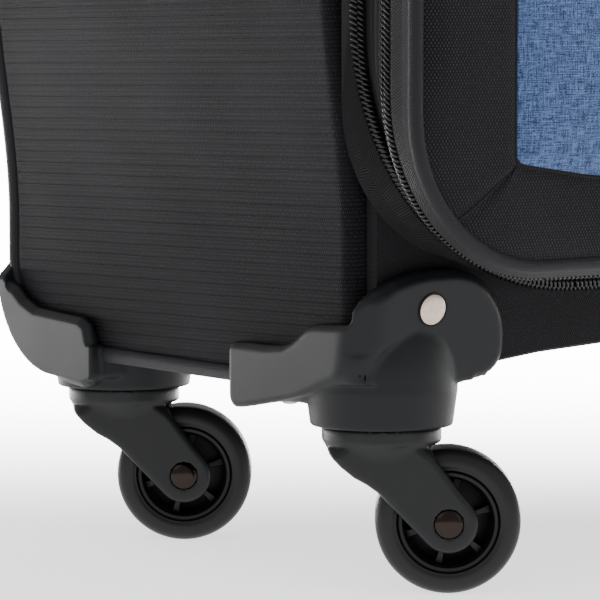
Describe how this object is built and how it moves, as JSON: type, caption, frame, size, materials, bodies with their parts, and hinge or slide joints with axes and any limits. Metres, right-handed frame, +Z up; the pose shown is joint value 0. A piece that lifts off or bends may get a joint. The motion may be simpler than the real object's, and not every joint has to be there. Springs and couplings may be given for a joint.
{
  "type": "softside upright suitcase",
  "caption": "Upright softside cabin suitcase with swivel casters, a zipped front lid with pockets, a zipped expansion band, carry handles and a telescopic trolley handle.",
  "frame": {"origin": "middle of the footprint at floor height, under the centre of the overall box", "axes": "+Z up, +X to the suitcase's right side (feet and lid hinge), -Y to the front lid, +Y to the back where the trolley tubes run"},
  "size_m": [0.3906, 0.2754, 0.5513],
  "materials": {
    "side_fabric": "ribbed dobby polyester",
    "front_fabric": "fine diamond-weave polyester",
    "blue_fabric": "heather melange polyester",
    "lining_fabric": "plain lining cloth",
    "zip_tape": "herringbone zip tape",
    "bracket_plastic": "fine matt moulding",
    "fork_plastic": "satin nylon",
    "tyre_rubber": "smooth polyurethane",
    "hub_plastic": "satin moulding",
    "axle_chrome": "black chrome",
    "tube_aluminium": "satin anodised",
    "frame_steel": "drawn wire",
    "board_plastic": "extruded sheet",
    "grip_plastic": "soft satin",
    "button_plastic": "satin",
    "slider_metal": "black nickel",
    "handle_fabric": "padded webbing"
  },
  "bodies": {
    "case": {"left_side_panel": "side_fabric", "right_side_panel": "side_fabric", "bottom_panel": "side_fabric", "back_panel": "side_fabric", "top_panel": "side_fabric", "front_border": "side_fabric", "base_board": "board_plastic", "back_lining": "lining_fabric", "front_frame_wire": "frame_steel", "opening_rim": "zip_tape", "front_left_bracket": "bracket_plastic", "front_right_bracket": "bracket_plastic", "rear_left_bracket": "bracket_plastic", "rear_right_bracket": "bracket_plastic", "left_outer_tube": "tube_aluminium", "right_outer_tube": "tube_aluminium", "trolley_cup": "bracket_plastic", "top_handle_anchor_left": "bracket_plastic", "top_handle_anchor_right": "bracket_plastic", "side_handle_anchor_lower": "bracket_plastic", "side_handle_anchor_upper": "bracket_plastic", "side_foot_lower": "bracket_plastic", "side_foot_upper": "bracket_plastic"},
    "expansion_ring": {"expansion_gusset": "zip_tape"},
    "lid": {"lid_gusset": "zip_tape", "lid_board": "front_fabric", "lower_pocket": "blue_fabric", "upper_pocket": "blue_fabric"},
    "mid_stage": {"left_mid_tube": "tube_aluminium", "right_mid_tube": "tube_aluminium"},
    "trolley_handle": {"left_inner_tube": "tube_aluminium", "right_inner_tube": "tube_aluminium", "grip": "grip_plastic"},
    "release_button": {"release_button": "button_plastic"},
    "top_handle": {"top_handle": "handle_fabric"},
    "side_handle": {"side_handle": "handle_fabric"},
    "front_left_fork": {"front_left_fork": "fork_plastic", "front_left_axle": "axle_chrome"},
    "front_left_wheel": {"front_left_tyre": "tyre_rubber", "front_left_hub": "hub_plastic"},
    "front_right_fork": {"front_right_fork": "fork_plastic", "front_right_axle": "axle_chrome"},
    "front_right_wheel": {"front_right_tyre": "tyre_rubber", "front_right_hub": "hub_plastic"},
    "rear_left_fork": {"rear_left_fork": "fork_plastic", "rear_left_axle": "axle_chrome"},
    "rear_left_wheel": {"rear_left_tyre": "tyre_rubber", "rear_left_hub": "hub_plastic"},
    "rear_right_fork": {"rear_right_fork": "fork_plastic", "rear_right_axle": "axle_chrome"},
    "rear_right_wheel": {"rear_right_tyre": "tyre_rubber", "rear_right_hub": "hub_plastic"},
    "main_slider_lower": {"main_slider_lower": "slider_metal"},
    "main_slider_lower_pull": {"main_slider_lower_pull": "slider_metal"},
    "main_slider_upper": {"main_slider_upper": "slider_metal"},
    "main_slider_upper_pull": {"main_slider_upper_pull": "slider_metal"},
    "expander_slider": {"expander_slider": "slider_metal"},
    "expander_slider_pull": {"expander_slider_pull": "slider_metal"},
    "pocket_slider": {"pocket_slider": "slider_metal"},
    "pocket_slider_pull": {"pocket_slider_pull": "slider_metal"}
  },
  "joints": [
    {"name": "front_left_swivel", "type": "hinge", "parent": "case", "child": "front_left_fork", "pos_m": [-0.147, -0.06925, 0.0575], "axis": [0, 0, 1], "continuous": true},
    {"name": "front_left_roll", "type": "hinge", "parent": "front_left_fork", "child": "front_left_wheel", "pos_m": [-0.12852, -0.08243, 0.025], "axis": [0.5807, 0.8141, 0], "continuous": true},
    {"name": "front_right_swivel", "type": "hinge", "parent": "case", "child": "front_right_fork", "pos_m": [0.147, -0.06925, 0.0575], "axis": [0, 0, 1], "continuous": true},
    {"name": "front_right_roll", "type": "hinge", "parent": "front_right_fork", "child": "front_right_wheel", "pos_m": [0.16548, -0.08243, 0.025], "axis": [0.5807, 0.8141, 0], "continuous": true},
    {"name": "rear_left_swivel", "type": "hinge", "parent": "case", "child": "rear_left_fork", "pos_m": [-0.147, 0.09245, 0.0575], "axis": [0, 0, 1], "continuous": true},
    {"name": "rear_left_roll", "type": "hinge", "parent": "rear_left_fork", "child": "rear_left_wheel", "pos_m": [-0.12852, 0.07927, 0.025], "axis": [0.5807, 0.8141, 0], "continuous": true},
    {"name": "rear_right_swivel", "type": "hinge", "parent": "case", "child": "rear_right_fork", "pos_m": [0.147, 0.09245, 0.0575], "axis": [0, 0, 1], "continuous": true},
    {"name": "rear_right_roll", "type": "hinge", "parent": "rear_right_fork", "child": "rear_right_wheel", "pos_m": [0.16548, 0.07927, 0.025], "axis": [0.5807, 0.8141, 0], "continuous": true},
    {"name": "expansion", "type": "slide", "parent": "case", "child": "expansion_ring", "axis": [0, -1, 0], "range_m": [0, 0.035]},
    {"name": "lid_hinge", "type": "hinge", "parent": "expansion_ring", "child": "lid", "pos_m": [0.1755, -0.10675, 0.314], "axis": [0, 0, 1], "range_deg": [0, 175]},
    {"name": "trolley_lower_stage", "type": "slide", "parent": "case", "child": "mid_stage", "axis": [0, 0, 1], "range_m": [0, 0.215]},
    {"name": "trolley_upper_stage", "type": "slide", "parent": "mid_stage", "child": "trolley_handle", "axis": [0, 0, 1], "range_m": [0, 0.215]},
    {"name": "button_press", "type": "slide", "parent": "trolley_handle", "child": "release_button", "axis": [0, 0, -1], "range_m": [0, 0.0025], "stiffness_N_per_m": 800},
    {"name": "top_handle_lift", "type": "slide", "parent": "case", "child": "top_handle", "axis": [0, 0, 1], "range_m": [0, 0.014], "stiffness_N_per_m": 300},
    {"name": "side_handle_lift", "type": "slide", "parent": "case", "child": "side_handle", "axis": [-1, 0, 0], "range_m": [0, 0.014], "stiffness_N_per_m": 300},
    {"name": "main_slider_lower_travel", "type": "slide", "parent": "expansion_ring", "child": "main_slider_lower", "axis": [0, 0, -1], "range_m": [0, 0.115]},
    {"name": "main_slider_lower_pull_swing", "type": "hinge", "parent": "main_slider_lower", "child": "main_slider_lower_pull", "pos_m": [-0.1778, -0.10675, 0.3035], "axis": [0, 1, 0], "range_deg": [0, 170]},
    {"name": "main_slider_upper_travel", "type": "slide", "parent": "expansion_ring", "child": "main_slider_upper", "axis": [0, 0, 1], "range_m": [0, 0.105]},
    {"name": "main_slider_upper_pull_swing", "type": "hinge", "parent": "main_slider_upper", "child": "main_slider_upper_pull", "pos_m": [-0.1778, -0.10675, 0.3485], "axis": [0, 1, 0], "range_deg": [0, 170]},
    {"name": "expander_slider_travel", "type": "slide", "parent": "case", "child": "expander_slider", "axis": [0, 0, -1], "range_m": [0, 0.245]},
    {"name": "expander_slider_pull_swing", "type": "hinge", "parent": "expander_slider", "child": "expander_slider_pull", "pos_m": [-0.1778, -0.09175, 0.4335], "axis": [0, 1, 0], "range_deg": [0, 170]},
    {"name": "pocket_slider_travel", "type": "slide", "parent": "lid", "child": "pocket_slider", "axis": [1, 0, 0], "range_m": [0, 0.195]},
    {"name": "pocket_pull_swing", "type": "hinge", "parent": "pocket_slider", "child": "pocket_slider_pull", "pos_m": [-0.1045, -0.13675, 0.3945], "axis": [-1, 0, 0], "range_deg": [0, 170]}
  ]
}
